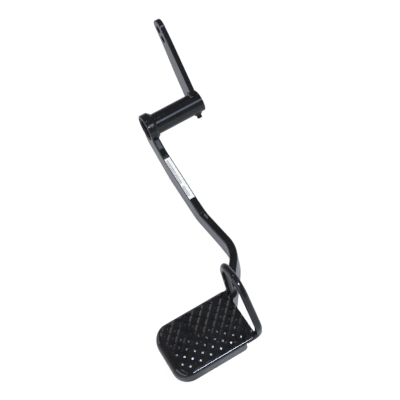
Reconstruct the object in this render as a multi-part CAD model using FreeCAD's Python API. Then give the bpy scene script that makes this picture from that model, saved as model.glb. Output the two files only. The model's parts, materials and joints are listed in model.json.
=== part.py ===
"""Rear brake pedal: a foot lever that turns on a pivot tube, with a pressed tread plate and a toe guard.

Frame: origin on the pivot axis at the middle of the bore, X forward, Y inboard along the axis, Z up.
The pieces are modelled with Y counted from the outer face of the eye, and save moves them to that frame.
All lengths are in millimetres and all angles in degrees.
"""
import FreeCAD, Part
import math
import os

os.makedirs("parts", exist_ok=True)

V = FreeCAD.Vector
X_AXIS = V(1, 0, 0)
Y_AXIS = V(0, 1, 0)
Z_AXIS = V(0, 0, 1)

# Arm thickness, shared by the eye, which is flush with it inboard
ARM_OUTER_Y = 0.9
ARM_THICKNESS = 7.8
ARM_EDGE = 1.8
ARM_MID_Y = ARM_OUTER_Y + ARM_THICKNESS / 2

# Pivot tube and what turns in it
SHAFT_DIA = 17.0
BUSH_WALL = 1.0
TUBE_WALL = 1.5
TUBE_BORE = SHAFT_DIA + 2 * BUSH_WALL
TUBE_OD = TUBE_BORE + 2 * TUBE_WALL
TUBE_END_Y = 64.7
TUBE_EDGE = 0.8
BUSH_LENGTH = 20.0
SEAL_LIP_DIA = SHAFT_DIA + 0.4
INNER_SEAL_WIDTH = 3.0

# Eye, the ring at the upper end of the arm
EYE_WALL = 4.0
EYE_OD = TUBE_OD + 2 * EYE_WALL
EYE_WIDTH = ARM_OUTER_Y + ARM_THICKNESS
EYE_EDGE = 1.4
SEAL_POCKET_DIA = TUBE_OD + 3.6
SEAL_POCKET_DEPTH = 3.4
SEAL_RECESS = 0.5
SEAL_MOUTH_DIA = SHAFT_DIA + 3.0
SEAL_LIP_WIDTH = 1.0

# Bore, from the first bush to the last, whose middle is the origin
BORE_START_Y = SEAL_POCKET_DEPTH + 0.2
BORE_END_Y = TUBE_END_Y - INNER_SEAL_WIDTH - 0.5
BORE_MID_Y = (BORE_START_Y + BORE_END_Y) / 2

# Toe guard
GUARD_DIA = 6.5
GUARD_Y = -19.6
GUARD_REAR_X = 199.2
GUARD_FRONT_X = 246.4

# Arm, a flat bar on edge that drops, rises again and turns outboard under the plate
ARM_TURN = 35.5
ARM_SLOPE = math.tan(math.radians(ARM_TURN))
ARM_BEND_X = 157.6
ARM_BEND_RADIUS = 44.0
GUARD_INSET = 1.5
ARM_BEND_Y = GUARD_Y - GUARD_INSET + (GUARD_REAR_X - ARM_BEND_X) * ARM_SLOPE
ARM_END_X = 226.0

# Tread plate
PLATE_TOP_Z = -22.0
PLATE_THICKNESS = 2.0
PLATE_UNDER_Z = PLATE_TOP_Z - PLATE_THICKNESS
PLATE_REAR_X = 194.0
PLATE_FRONT_X = 251.2
PLATE_OUTER_Y = -101.5
PLATE_INNER_Y = -23.0
PLATE_SKIRT = 11.6
PLATE_CORNER = 15.0
PLATE_CUT_CORNER = 4.0
ROLL_RADIUS = 8.0
FRONT_RADIUS = 2.4
SKIRT_END_Y = -34.2
SKIRT_END_CORNER = 4.0

# Diamond tread
DIAMOND_X = 10.8
DIAMOND_Y = 10.2
DIAMOND_HEIGHT = 1.1
DIAMOND_FLAT = 0.9
DIAMOND_ORIGIN_X = 227.8
DIAMOND_ORIGIN_Y = -50.5
TREAD_MARGIN = 0.6
TREAD_REAR_MARGIN = 2.5

# Actuating lever
LEVER_OUTER_Y = 57.2
LEVER_THICKNESS = 5.4
LEVER_ANGLE = 129.9
LEVER_EDGE = 0.9
HOLE_DIA = 8.0
HOLE_ROOT_DISTANCE = 72.2
HOLE_SPACING = 10.5
HOLE_TIP_DISTANCE = HOLE_ROOT_DISTANCE + HOLE_SPACING
LEVER_TIP_MARGIN = 10.0
LEVER_LENGTH = HOLE_TIP_DISTANCE + LEVER_TIP_MARGIN
LEVER_FRONT_ROOT = TUBE_OD / 2 - 5.6
LEVER_FRONT_TIP = 10.6
LEVER_REAR_ROOT = TUBE_OD / 2 + 13.4
LEVER_REAR_TIP = 8.0

# Toe guard bends
GUARD_LEAN = 0.012
GUARD_FOOT_Z = PLATE_UNDER_Z - GUARD_DIA / 2 - 0.1
GUARD_FOOT_END_Y = -32.0
GUARD_FOOT_BEND = 6.5

# Weld beads
BEAD = 2.6
SMALL_BEAD = 1.5
PLATE_BEAD = 3.0

# Return spring peg
PEG_DIA = 5.4
PEG_FOOT_DIA = PEG_DIA + 0.8
PEG_FOOT_REACH = TUBE_OD / 2 + SMALL_BEAD + 0.1
PEG_REACH = TUBE_OD / 2 + 5.0
PEG_Y = LEVER_OUTER_Y - 0.4
PEG_ANGLE = -51.3
PEG_EDGE = 0.7

# Label
LABEL_START_X = 31.2
LABEL_END_X = 80.4
LABEL_THICKNESS = 0.2
LABEL_OUTBOARD = 3.2
LABEL_INBOARD = 3.0


def chain(points, radii, closed):
    """Joins points by straight lines and rounds every corner that has a radius."""
    count = len(points)
    starts = []
    ends = []
    mids = []
    for i in range(count):
        here = points[i]
        inner = closed or 0 < i < count - 1
        if not inner or radii[i] <= 0:
            starts.append(here)
            ends.append(here)
            mids.append(None)
            continue
        back = (points[i - 1] - here).normalize()
        ahead = (points[(i + 1) % count] - here).normalize()
        half = back.getAngle(ahead) / 2
        reach = radii[i] / math.tan(half)
        middle = (back + ahead).normalize()
        centre = here + middle * (radii[i] / math.sin(half))
        starts.append(here + back * reach)
        ends.append(here + ahead * reach)
        mids.append(centre - middle * radii[i])
    edges = []
    for i in range(count):
        if mids[i] is not None:
            edges.append(Part.Arc(starts[i], mids[i], ends[i]).toShape())
        if i == count - 1 and not closed:
            continue
        following = starts[(i + 1) % count]
        if (following - ends[i]).Length > 1e-6:
            edges.append(Part.makeLine(ends[i], following))
    return Part.Wire(edges)


def prism(points, radii, direction):
    """Closed rounded outline pushed along a direction."""
    return Part.Face(chain(points, radii, True)).extrude(direction)


def ring(outer, inner, y0, y1):
    """Ring on the pivot axis between two stations."""
    body = Part.makeCylinder(outer / 2, y1 - y0, V(0, y0, 0), Y_AXIS)
    return body.cut(Part.makeCylinder(inner / 2, y1 - y0 + 2, V(0, y0 - 1, 0), Y_AXIS))


def edges_where(shape, test):
    """Edges of a shape that pass a test."""
    return [edge for edge in shape.Edges if test(edge)]


def at_angle(degrees, distance, y):
    """Point at an angle round the pivot axis, counted from forward towards up."""
    a = math.radians(degrees)
    return V(distance * math.cos(a), y, distance * math.sin(a))


# Arm outline seen from the side: corner x, corner z and corner radius
ARM_SIDE = [
    (4.0, -4.0, 0),
    (23.5, -17.0, 25),
    (86.0, -33.4, 14),
    (99.0, -38.6, 22),
    (182.0, PLATE_UNDER_Z, 25),
    (ARM_END_X, PLATE_UNDER_Z, 0),
    (ARM_END_X, -34.0, 5),
    (210.0, -52.5, 8),
    (176.0, -54.5, 40),
    (130.0, -55.0, 60),
    (88.0, -61.0, 40),
    (33.0, -51.0, 30),
    (-9.5, -27.0, 13),
    (-14.5, -3.0, 0),
]


def arm_path():
    """Middle line of the arm in plan, from behind the eye to its end under the plate."""
    end_x = ARM_END_X + 14
    end_y = ARM_BEND_Y - (end_x - ARM_BEND_X) * ARM_SLOPE
    return [V(-30, ARM_MID_Y, 0), V(85, ARM_MID_Y, 0), V(ARM_BEND_X, ARM_BEND_Y, 0), V(end_x, end_y, 0)]


def make_arm_bar():
    """Bar of the arm: its side outline and its plan strip together."""
    side = prism([V(x, -90, z) for x, z, _ in ARM_SIDE], [r for _, _, r in ARM_SIDE], V(0, 180, 0))
    path = arm_path()
    radii = [0, 90, ARM_BEND_RADIUS, 0]
    half = ARM_THICKNESS / 2
    outer = []
    inner = []
    for i, point in enumerate(path):
        before = path[max(i - 1, 0)]
        after = path[min(i + 1, len(path) - 1)]
        d0 = (point - before) if i else (after - point)
        d1 = (after - point) if i < len(path) - 1 else d0
        bisector = (d0.normalize() + d1.normalize()).normalize()
        normal = V(bisector.y, -bisector.x, 0)
        spread = half / math.cos(d0.getAngle(d1) / 2)
        outer.append(point + normal * spread)
        inner.append(point - normal * spread)
    outer_radii = [0, radii[1] + half, radii[2] - half, 0]
    inner_radii = [0, radii[1] - half, radii[2] + half, 0]
    outline = outer + inner[::-1]
    strip = prism(outline, outer_radii + inner_radii[::-1], V(0, 0, 120))
    strip.translate(V(0, 0, -100))
    bar = side.common(strip)
    if bar.ShapeType == "Compound":
        bar = bar.Solids[0]

    def is_long(edge):
        box = edge.BoundBox
        if box.YLength < 0.01 and edge.Length < ARM_THICKNESS + 1:
            return edge.CenterOfMass.x < ARM_END_X - 1
        flat_across = box.YLength > ARM_THICKNESS - 2 and box.XLength < 0.1 and box.ZLength < 0.1
        return not flat_across and box.XMax > 6 and edge.CenterOfMass.x < ARM_END_X - 1

    return bar.makeFillet(ARM_EDGE, edges_where(bar, is_long))


def make_pedal_arm():
    """Arm with its eye, bored for the tube and pocketed for the seal."""
    eye = Part.makeCylinder(EYE_OD / 2, EYE_WIDTH, V(0, 0, 0), Y_AXIS)
    eye = eye.makeFillet(EYE_EDGE, edges_where(eye, lambda e: e.BoundBox.YLength < 0.01))
    arm = eye.fuse(make_arm_bar()).removeSplitter()
    arm = arm.cut(Part.makeCylinder(TUBE_OD / 2, 40, V(0, -10, 0), Y_AXIS))
    return arm.cut(Part.makeCylinder(SEAL_POCKET_DIA / 2, SEAL_POCKET_DEPTH + 5, V(0, -5, 0), Y_AXIS))


def make_pivot_tube():
    """Tube that carries the whole pedal on its shaft."""
    tube = ring(TUBE_OD, TUBE_BORE, SEAL_POCKET_DEPTH, TUBE_END_Y)
    end_edges = edges_where(tube, lambda e: e.BoundBox.YMin > TUBE_END_Y - 0.01)
    return tube.makeChamfer(TUBE_EDGE / 2, end_edges)


def make_outer_seal():
    """Rubber dust seal in the eye, with a lip that reaches in to the shaft."""
    r0 = SEAL_LIP_DIA / 2
    r1 = SEAL_MOUTH_DIA / 2
    r2 = SEAL_POCKET_DIA / 2
    y0 = SEAL_RECESS
    y1 = SEAL_POCKET_DEPTH
    outline = [(r2, y0 + 0.5), (r2 - 0.5, y0), (r1 + 0.4, y0), (r1, y0 + 0.4), (r1, y1 - SEAL_LIP_WIDTH),
               (r0, y1 - SEAL_LIP_WIDTH + 0.3), (r0, y1), (r2, y1)]
    wire = Part.makePolygon([V(r, y, 0) for r, y in outline + outline[:1]])
    return Part.Face(wire).revolve(V(0, 0, 0), Y_AXIS, 360)


def make_lever():
    """Flat lever, notched over the tube, with two holes near its rounded tip."""
    a = math.radians(LEVER_ANGLE)
    along = V(math.cos(a), 0, math.sin(a))
    front = V(math.sin(a), 0, -math.cos(a))
    rows = [
        (-1.0, LEVER_FRONT_ROOT, 0),
        (0.71 * LEVER_LENGTH, LEVER_FRONT_TIP, 90),
        (LEVER_LENGTH, LEVER_FRONT_TIP, 8.5),
        (LEVER_LENGTH - 0.3, -LEVER_REAR_TIP, 7.5),
        (0.755 * LEVER_LENGTH, -LEVER_REAR_TIP - 2.9, 40),
        (0.39 * LEVER_LENGTH, 5.0 - LEVER_REAR_ROOT, 60),
        (4.0, -LEVER_REAR_ROOT, 6),
        (-1.0, 2.0 - TUBE_OD / 2, 0),
    ]
    points = [along * u + front * w + V(0, LEVER_OUTER_Y, 0) for u, w, _ in rows]
    lever = prism(points, [r for _, _, r in rows], V(0, LEVER_THICKNESS, 0))
    rim = edges_where(lever, lambda e: e.BoundBox.YLength < 0.01 and e.CenterOfMass.z > 9)
    lever = lever.makeFillet(LEVER_EDGE, rim)
    lever = lever.cut(Part.makeCylinder(TUBE_OD / 2, 40, V(0, LEVER_OUTER_Y - 10, 0), Y_AXIS))
    for distance in (HOLE_TIP_DISTANCE, HOLE_ROOT_DISTANCE):
        centre = at_angle(LEVER_ANGLE, distance, LEVER_OUTER_Y - 5)
        lever = lever.cut(Part.makeCylinder(HOLE_DIA / 2, LEVER_THICKNESS + 10, centre, Y_AXIS))
    return lever


def make_peg():
    """Peg the return spring hooks on, with a wider foot seated on the curve of the tube."""
    direction = at_angle(PEG_ANGLE, 1, 0)
    peg = Part.makeCylinder(PEG_DIA / 2, PEG_REACH, V(0, PEG_Y, 0), direction)
    tip = at_angle(PEG_ANGLE, PEG_REACH, PEG_Y)
    rim = edges_where(peg, lambda e: e.CenterOfMass.distanceToPoint(tip) < 0.01)
    peg = peg.makeFillet(PEG_EDGE, rim)
    peg = peg.fuse(Part.makeCylinder(PEG_FOOT_DIA / 2, PEG_FOOT_REACH, V(0, PEG_Y, 0), direction))
    return peg.cut(Part.makeCylinder(TUBE_OD / 2, 40, V(0, PEG_Y - 20, 0), Y_AXIS))


def pan(inset, roll, front):
    """Full pan shape of the plate, moved in by an inset, with a large roll outboard and small bends."""
    x0 = PLATE_REAR_X + inset
    x1 = PLATE_FRONT_X - inset
    y0 = PLATE_OUTER_Y + inset
    y1 = PLATE_INNER_Y
    top = PLATE_TOP_Z - inset
    bottom = PLATE_TOP_Z - PLATE_SKIRT
    big = PLATE_CORNER - inset
    small = PLATE_CUT_CORNER
    corners = [V(x0, y0, bottom), V(x1, y0, bottom), V(x1, y1, bottom), V(x0, y1, bottom)]
    body = prism(corners, [big, big, small, small], V(0, 0, top - bottom))
    doc = FreeCAD.newDocument("pan")
    base = doc.addObject("Part::Feature", "base")
    base.Shape = body
    fillet = doc.addObject("Part::Fillet", "fillet")
    fillet.Base = base
    rows = []
    for number, edge in enumerate(body.Edges, 1):
        centre = edge.CenterOfMass
        if edge.BoundBox.ZMin < top - 0.01:
            continue
        first = edge.Vertexes[0].Point
        if centre.y > y1 - 2:
            continue
        if edge.Curve.TypeId == "Part::GeomLine":
            size = roll if edge.BoundBox.XLength > 5 else front
            rows.append((number, size, size))
        elif abs(first.x - x0) < 0.01 or abs(first.x - x1) < 0.01:
            rows.append((number, front, roll))
        else:
            rows.append((number, roll, front))
    fillet.Edges = rows
    doc.recompute()
    shape = fillet.Shape.copy()
    FreeCAD.closeDocument(doc.Name)
    return shape


def make_tread_plate():
    """Pressed tread plate: rolled edge outboard, skirt in front, diamonds on top."""
    shell = pan(0, ROLL_RADIUS, FRONT_RADIUS)
    t = PLATE_THICKNESS
    hollow = pan(t, ROLL_RADIUS - t, FRONT_RADIUS - t + 0.2)
    below = PLATE_SKIRT + 10
    shell = shell.cut(hollow)
    bottom = PLATE_TOP_Z - PLATE_SKIRT
    rear_cut = Part.makeBox(8, 90, below, V(PLATE_REAR_X - 2, PLATE_OUTER_Y + PLATE_CORNER, PLATE_UNDER_Z - below))
    side_cut = Part.makeBox(70, 12, below, V(PLATE_REAR_X - 2, PLATE_INNER_Y - 8, PLATE_UNDER_Z - below))
    skirt_cut = Part.makeBox(20, 30, below, V(PLATE_FRONT_X - 10, SKIRT_END_Y, PLATE_UNDER_Z - below))
    r = SKIRT_END_CORNER
    corner = Part.makeBox(20, r + 1, r + 1, V(PLATE_FRONT_X - 10, SKIRT_END_Y - r, bottom - 1))
    corner = corner.cut(Part.makeCylinder(r, 20, V(PLATE_FRONT_X - 10, SKIRT_END_Y - r, bottom + r), X_AXIS))
    shell = shell.cut(rear_cut).cut(side_cut).cut(skirt_cut).cut(corner)
    return shell.fuse(make_diamonds()).removeSplitter()


def make_diamonds():
    """Crossed V grooves leave rows of flat-topped pyramids over the flat of the plate."""
    sink = 0.6
    floor = PLATE_TOP_Z + 0.04
    top = PLATE_TOP_Z + DIAMOND_HEIGHT
    x0 = PLATE_REAR_X + TREAD_REAR_MARGIN
    x1 = PLATE_FRONT_X - FRONT_RADIUS
    y0 = PLATE_OUTER_Y + ROLL_RADIUS
    y1 = PLATE_INNER_Y - TREAD_MARGIN
    corners = [V(x0, y0, PLATE_TOP_Z - sink), V(x1, y0, PLATE_TOP_Z - sink), V(x1, y1, PLATE_TOP_Z - sink),
               V(x0, y1, PLATE_TOP_Z - sink)]
    slab = prism(corners, [6, 6, PLATE_CUT_CORNER, PLATE_CUT_CORNER], V(0, 0, top - PLATE_TOP_Z + sink))
    length = 260
    diagonal = math.hypot(DIAMOND_X, DIAMOND_Y) / 2
    pitch = DIAMOND_X * DIAMOND_Y / 2 / diagonal
    reach = (pitch - DIAMOND_FLAT) / 2
    rise = top - floor
    origin = V(DIAMOND_ORIGIN_X + DIAMOND_X / 4, DIAMOND_ORIGIN_Y + DIAMOND_Y / 4, 0)
    grooves = []
    for side in (1, -1):
        direction = V(DIAMOND_X, side * DIAMOND_Y, 0).normalize()
        across = V(-direction.y, direction.x, 0)
        start = V(origin.x, DIAMOND_ORIGIN_Y - side * DIAMOND_Y / 4, 0)
        for step in range(-9, 10):
            middle = start + across * (pitch * step) - direction * (length / 2)
            lift = 0.4
            wide = reach * (1 + lift / rise)
            wire = Part.makePolygon([
                middle + V(0, 0, floor),
                middle + across * wide + V(0, 0, top + lift),
                middle - across * wide + V(0, 0, top + lift),
                middle + V(0, 0, floor)])
            grooves.append(Part.Face(wire).extrude(direction * length))
    return slab.cut(grooves)


# Toe guard middle line seen from the side: x, z and corner radius
GUARD_SIDE = [
    (GUARD_REAR_X, PLATE_UNDER_Z, 0),
    (GUARD_REAR_X - 3.2, 12.0, 10),
    (201.0, 25.5, 12),
    (220.5, 32.3, 14),
    (232.0, 24.5, 18),
    (249.6, -9.5, 13),
]


def make_toe_guard():
    """Round bar bent to an arch; its front foot turns in under the plate."""
    points = [V(x, GUARD_Y - GUARD_LEAN * (z - PLATE_UNDER_Z), z) for x, z, _ in GUARD_SIDE]
    points += [V(GUARD_FRONT_X, GUARD_Y, GUARD_FOOT_Z), V(GUARD_FRONT_X, GUARD_FOOT_END_Y, GUARD_FOOT_Z)]
    radii = [r for _, _, r in GUARD_SIDE] + [GUARD_FOOT_BEND, 0]
    spine = chain(points, radii, False)
    start_direction = (points[1] - points[0]).normalize()
    profile = Part.Wire(Part.makeCircle(GUARD_DIA / 2, points[0] - start_direction * 4, start_direction))
    lead = Part.makeLine(points[0] - start_direction * 4, points[0])
    spine = Part.Wire([lead] + spine.Edges)
    bar = spine.makePipeShell([profile], True, True)
    keep = Part.makeBox(200, 120, 200, V(GUARD_REAR_X + 12, -90, -90))
    keep = keep.fuse(Part.makeBox(60, 120, 200, V(GUARD_REAR_X - 40, -90, PLATE_UNDER_Z)))
    return bar.common(keep.removeSplitter())


def bead_ring(radius, leg, y, side, start, sweep):
    """Fillet weld round the tube against a face that looks inboard (side 1) or outboard (side -1)."""
    toe = V(radius, y + side * leg, 0)
    heel = V(radius, y, 0)
    top = V(radius + leg, y, 0)
    bulge = V(radius + leg * 0.62, y + side * leg * 0.62, 0)
    edges = [Part.makeLine(toe, heel), Part.makeLine(heel, top), Part.Arc(top, bulge, toe).toShape()]
    face = Part.Face(Part.Wire(edges))
    face.rotate(V(0, 0, 0), Y_AXIS, -start)
    return face.revolve(V(0, 0, 0), Y_AXIS, -sweep)


def make_peg_weld(peg, tube):
    """Small bead round the foot of the peg."""
    direction = at_angle(PEG_ANGLE, 1, 0)
    foot = at_angle(PEG_ANGLE, TUBE_OD / 2 - 1.5, PEG_Y)
    radius = PEG_FOOT_DIA / 2
    cone = Part.makeCone(radius + SMALL_BEAD + 1.2, radius, SMALL_BEAD + 1.5, foot, direction)
    return cone.cut(peg).cut(tube).cut(Part.makeCylinder(TUBE_OD / 2, 60, V(0, PEG_Y - 30, 0), Y_AXIS))


def plate_bead(side, plate, arm):
    """Fillet weld along one side of the arm under the plate."""
    a = math.radians(-ARM_TURN)
    along = V(math.cos(a), math.sin(a), 0)
    away = V(-along.y, along.x, 0) * side
    start_x = PLATE_REAR_X + 7
    start = V(start_x, ARM_BEND_Y - (start_x - ARM_BEND_X) * ARM_SLOPE, PLATE_UNDER_Z)
    if side > 0:
        start = start + along * 10
    heel = start + away * (ARM_THICKNESS / 2 - ARM_EDGE)
    toe = start + away * (ARM_THICKNESS / 2 + PLATE_BEAD)
    foot = start + away * (ARM_THICKNESS / 2) - Z_AXIS * (PLATE_BEAD + ARM_EDGE)
    inner = start + away * (ARM_THICKNESS / 2 - ARM_EDGE) - Z_AXIS * (PLATE_BEAD + ARM_EDGE)
    wire = Part.makePolygon([heel, toe, foot, inner, heel])
    length = 24 if side < 0 else 16
    return Part.Face(wire).extrude(along * length).cut([arm, plate])


def make_guard_rear_weld(guard, arm, plate):
    """Bead round the rear leg of the guard where it stands on the arm."""
    radius = GUARD_DIA / 2
    cone = Part.makeCone(radius + BEAD, radius, BEAD, V(GUARD_REAR_X, GUARD_Y, PLATE_UNDER_Z), Z_AXIS)
    skirt = Part.makeCylinder(radius + BEAD, ARM_EDGE, V(GUARD_REAR_X, GUARD_Y, PLATE_UNDER_Z - ARM_EDGE), Z_AXIS)
    bead = cone.fuse(skirt).removeSplitter()
    return biggest(bead.cut([guard, arm, plate]))


def make_guard_front_weld(guard, plate):
    """Bead along the front foot of the guard under the plate."""
    x = GUARD_FRONT_X - GUARD_DIA / 2 - SMALL_BEAD
    y0 = GUARD_FOOT_END_Y
    width = SMALL_BEAD + GUARD_DIA / 2
    wire = Part.makePolygon([V(x, y0, PLATE_UNDER_Z), V(x + width, y0, PLATE_UNDER_Z), V(x + width, y0, GUARD_FOOT_Z),
                             V(x + SMALL_BEAD, y0, GUARD_FOOT_Z), V(x, y0, PLATE_UNDER_Z)])
    bead = Part.Face(wire).extrude(V(0, 7, 0))
    return biggest(bead.cut([guard, plate]))


def biggest(shape):
    """Largest solid of a shape."""
    return max(shape.Solids, key=lambda s: s.Volume)


def make_label(arm):
    """Blank paper label stuck along the top edge of the arm, its long sides bent with the rounded corners."""
    a = ARM_SIDE[1]
    b = ARM_SIDE[2]
    along = V(b[0] - a[0], 0, b[1] - a[1]).normalize()
    up = V(-along.z, 0, along.x)
    start = V(a[0], 0, a[1]) + along * ((LABEL_START_X - a[0]) / along.x)
    end = V(a[0], 0, a[1]) + along * ((LABEL_END_X - a[0]) / along.x)
    half = ARM_THICKNESS / 2 + LABEL_THICKNESS
    middle = start + V(0, ARM_MID_Y, 0)
    deep = 12.0
    corners = [middle + V(0, -half, 0) + up * LABEL_THICKNESS, middle + V(0, half, 0) + up * LABEL_THICKNESS,
               middle + V(0, half, 0) - up * deep, middle + V(0, -half, 0) - up * deep]
    r = ARM_EDGE + LABEL_THICKNESS
    wrap = prism(corners, [r, r, 0, 0], end - start)
    window = [middle + V(0, -LABEL_OUTBOARD, 0) + up * 2, middle + V(0, LABEL_INBOARD, 0) + up * 2,
              middle + V(0, LABEL_INBOARD, 0) - up * 1.5, middle + V(0, -LABEL_OUTBOARD, 0) - up * 1.5]
    strip = prism(window, [0, 0, 0, 0], end - start)
    return biggest(wrap.common(strip).cut(arm))


def save(name, shape):
    """Checks that a piece is one closed solid, moves it to the frame and writes it."""
    solid = shape
    if solid.ShapeType != "Solid":
        solids = solid.Solids
        if len(solids) != 1:
            raise ValueError(name + " has " + str(len(solids)) + " solids")
        solid = solids[0]
    if not solid.isValid() or not solid.isClosed():
        raise ValueError(name + " is not a closed solid")
    solid.translate(V(0, -BORE_MID_Y, 0))
    solid.exportStep("parts/" + name + ".step")
    print(name, round(solid.Volume, 1), len(solid.Faces))


def main():
    """Builds every piece, then writes them all."""
    arm = make_pedal_arm()
    tube = make_pivot_tube()
    lever = make_lever()
    peg = make_peg()
    plate = make_tread_plate()
    guard = biggest(make_toe_guard().cut(plate))
    rear_weld = make_guard_rear_weld(guard, arm, plate)
    lever_inner_y = LEVER_OUTER_Y + LEVER_THICKNESS
    inboard_leg = min(BEAD, TUBE_END_Y - TUBE_EDGE - lever_inner_y)
    start = LEVER_ANGLE - 48
    pieces = {
        "pedal_arm": arm,
        "pivot_tube": tube,
        "actuating_lever": lever,
        "spring_peg": peg,
        "tread_plate": plate,
        "toe_guard": guard,
        "outer_bush": ring(TUBE_BORE, SHAFT_DIA, BORE_START_Y, BORE_START_Y + BUSH_LENGTH),
        "inner_bush": ring(TUBE_BORE, SHAFT_DIA, BORE_END_Y - BUSH_LENGTH, BORE_END_Y),
        "outer_dust_seal": make_outer_seal(),
        "inner_dust_seal": ring(TUBE_BORE, SEAL_LIP_DIA, BORE_END_Y, BORE_END_Y + INNER_SEAL_WIDTH),
        "eye_weld": bead_ring(TUBE_OD / 2, BEAD, EYE_WIDTH, 1, 0, 360),
        "lever_weld_outboard": bead_ring(TUBE_OD / 2, BEAD, LEVER_OUTER_Y, -1, start, 120),
        "lever_weld_inboard": bead_ring(TUBE_OD / 2, inboard_leg, lever_inner_y, 1, start, 120),
        "peg_weld": biggest(make_peg_weld(peg, tube)),
        "plate_weld_outboard": biggest(plate_bead(-1, plate, arm).cut(rear_weld)),
        "plate_weld_inboard": biggest(plate_bead(1, plate, arm)),
        "guard_rear_weld": rear_weld,
        "guard_front_weld": make_guard_front_weld(guard, plate),
        "arm_label": make_label(arm),
    }
    for name, shape in pieces.items():
        save(name, shape)


main()
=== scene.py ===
"""Looks of the rear brake pedal: paint, tread, weld ripples, bushes, seals and label on the fixed frame.

All lengths are in metres and all angles in degrees. X points forward, Y inboard along the pivot axis, and Z
up, square to the tread.
"""

import json
import logging
import math
from dataclasses import dataclass
from enum import Enum

import bmesh
import bpy
from mathutils import Matrix, Vector

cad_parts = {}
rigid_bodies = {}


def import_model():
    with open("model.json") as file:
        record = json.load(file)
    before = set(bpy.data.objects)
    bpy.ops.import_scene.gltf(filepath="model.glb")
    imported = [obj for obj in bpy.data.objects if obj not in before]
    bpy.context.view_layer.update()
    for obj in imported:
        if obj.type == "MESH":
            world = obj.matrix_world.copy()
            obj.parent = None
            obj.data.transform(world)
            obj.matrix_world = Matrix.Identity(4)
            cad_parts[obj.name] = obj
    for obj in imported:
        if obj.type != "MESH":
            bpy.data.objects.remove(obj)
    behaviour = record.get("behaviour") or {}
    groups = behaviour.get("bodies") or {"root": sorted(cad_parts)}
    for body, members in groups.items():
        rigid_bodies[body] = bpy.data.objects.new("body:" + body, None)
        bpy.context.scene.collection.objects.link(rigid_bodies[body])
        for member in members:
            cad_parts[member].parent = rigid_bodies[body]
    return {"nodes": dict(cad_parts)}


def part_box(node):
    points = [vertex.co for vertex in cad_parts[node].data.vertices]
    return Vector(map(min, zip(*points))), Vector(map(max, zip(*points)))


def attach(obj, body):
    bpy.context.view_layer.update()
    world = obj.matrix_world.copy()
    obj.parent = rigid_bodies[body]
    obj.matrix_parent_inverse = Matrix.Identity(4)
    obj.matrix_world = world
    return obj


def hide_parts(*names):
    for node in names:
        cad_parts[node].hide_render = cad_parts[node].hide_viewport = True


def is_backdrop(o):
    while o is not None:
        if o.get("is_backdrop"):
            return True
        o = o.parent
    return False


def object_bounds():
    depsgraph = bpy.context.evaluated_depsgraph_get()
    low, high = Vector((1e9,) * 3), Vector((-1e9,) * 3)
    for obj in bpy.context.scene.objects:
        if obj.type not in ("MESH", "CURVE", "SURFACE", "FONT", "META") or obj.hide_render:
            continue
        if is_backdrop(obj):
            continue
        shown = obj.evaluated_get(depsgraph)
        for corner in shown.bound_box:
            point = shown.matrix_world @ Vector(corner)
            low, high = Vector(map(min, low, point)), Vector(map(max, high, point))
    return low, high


LOG = logging.getLogger("rear_brake_pedal")
ROOT = "root"
MM = 0.001
BEAD_LIFT = 0.42
MID_NOISE = (0.3, 0.7)
WHITE = (1.0, 1.0, 1.0, 1.0)
PIVOT_AXIS = Vector((0.0, 1.0, 0.0))

Span = tuple[float, float]
Triple = tuple[float, float, float]
Nodes = dict[str, bpy.types.Object]


class Slot(Enum):
    """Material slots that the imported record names."""

    BLACK_PAINT = "black_paint"
    BUSH_BRONZE = "bush_bronze"
    SEAL_RUBBER = "seal_rubber"
    LABEL_PAPER = "label_paper"


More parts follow.
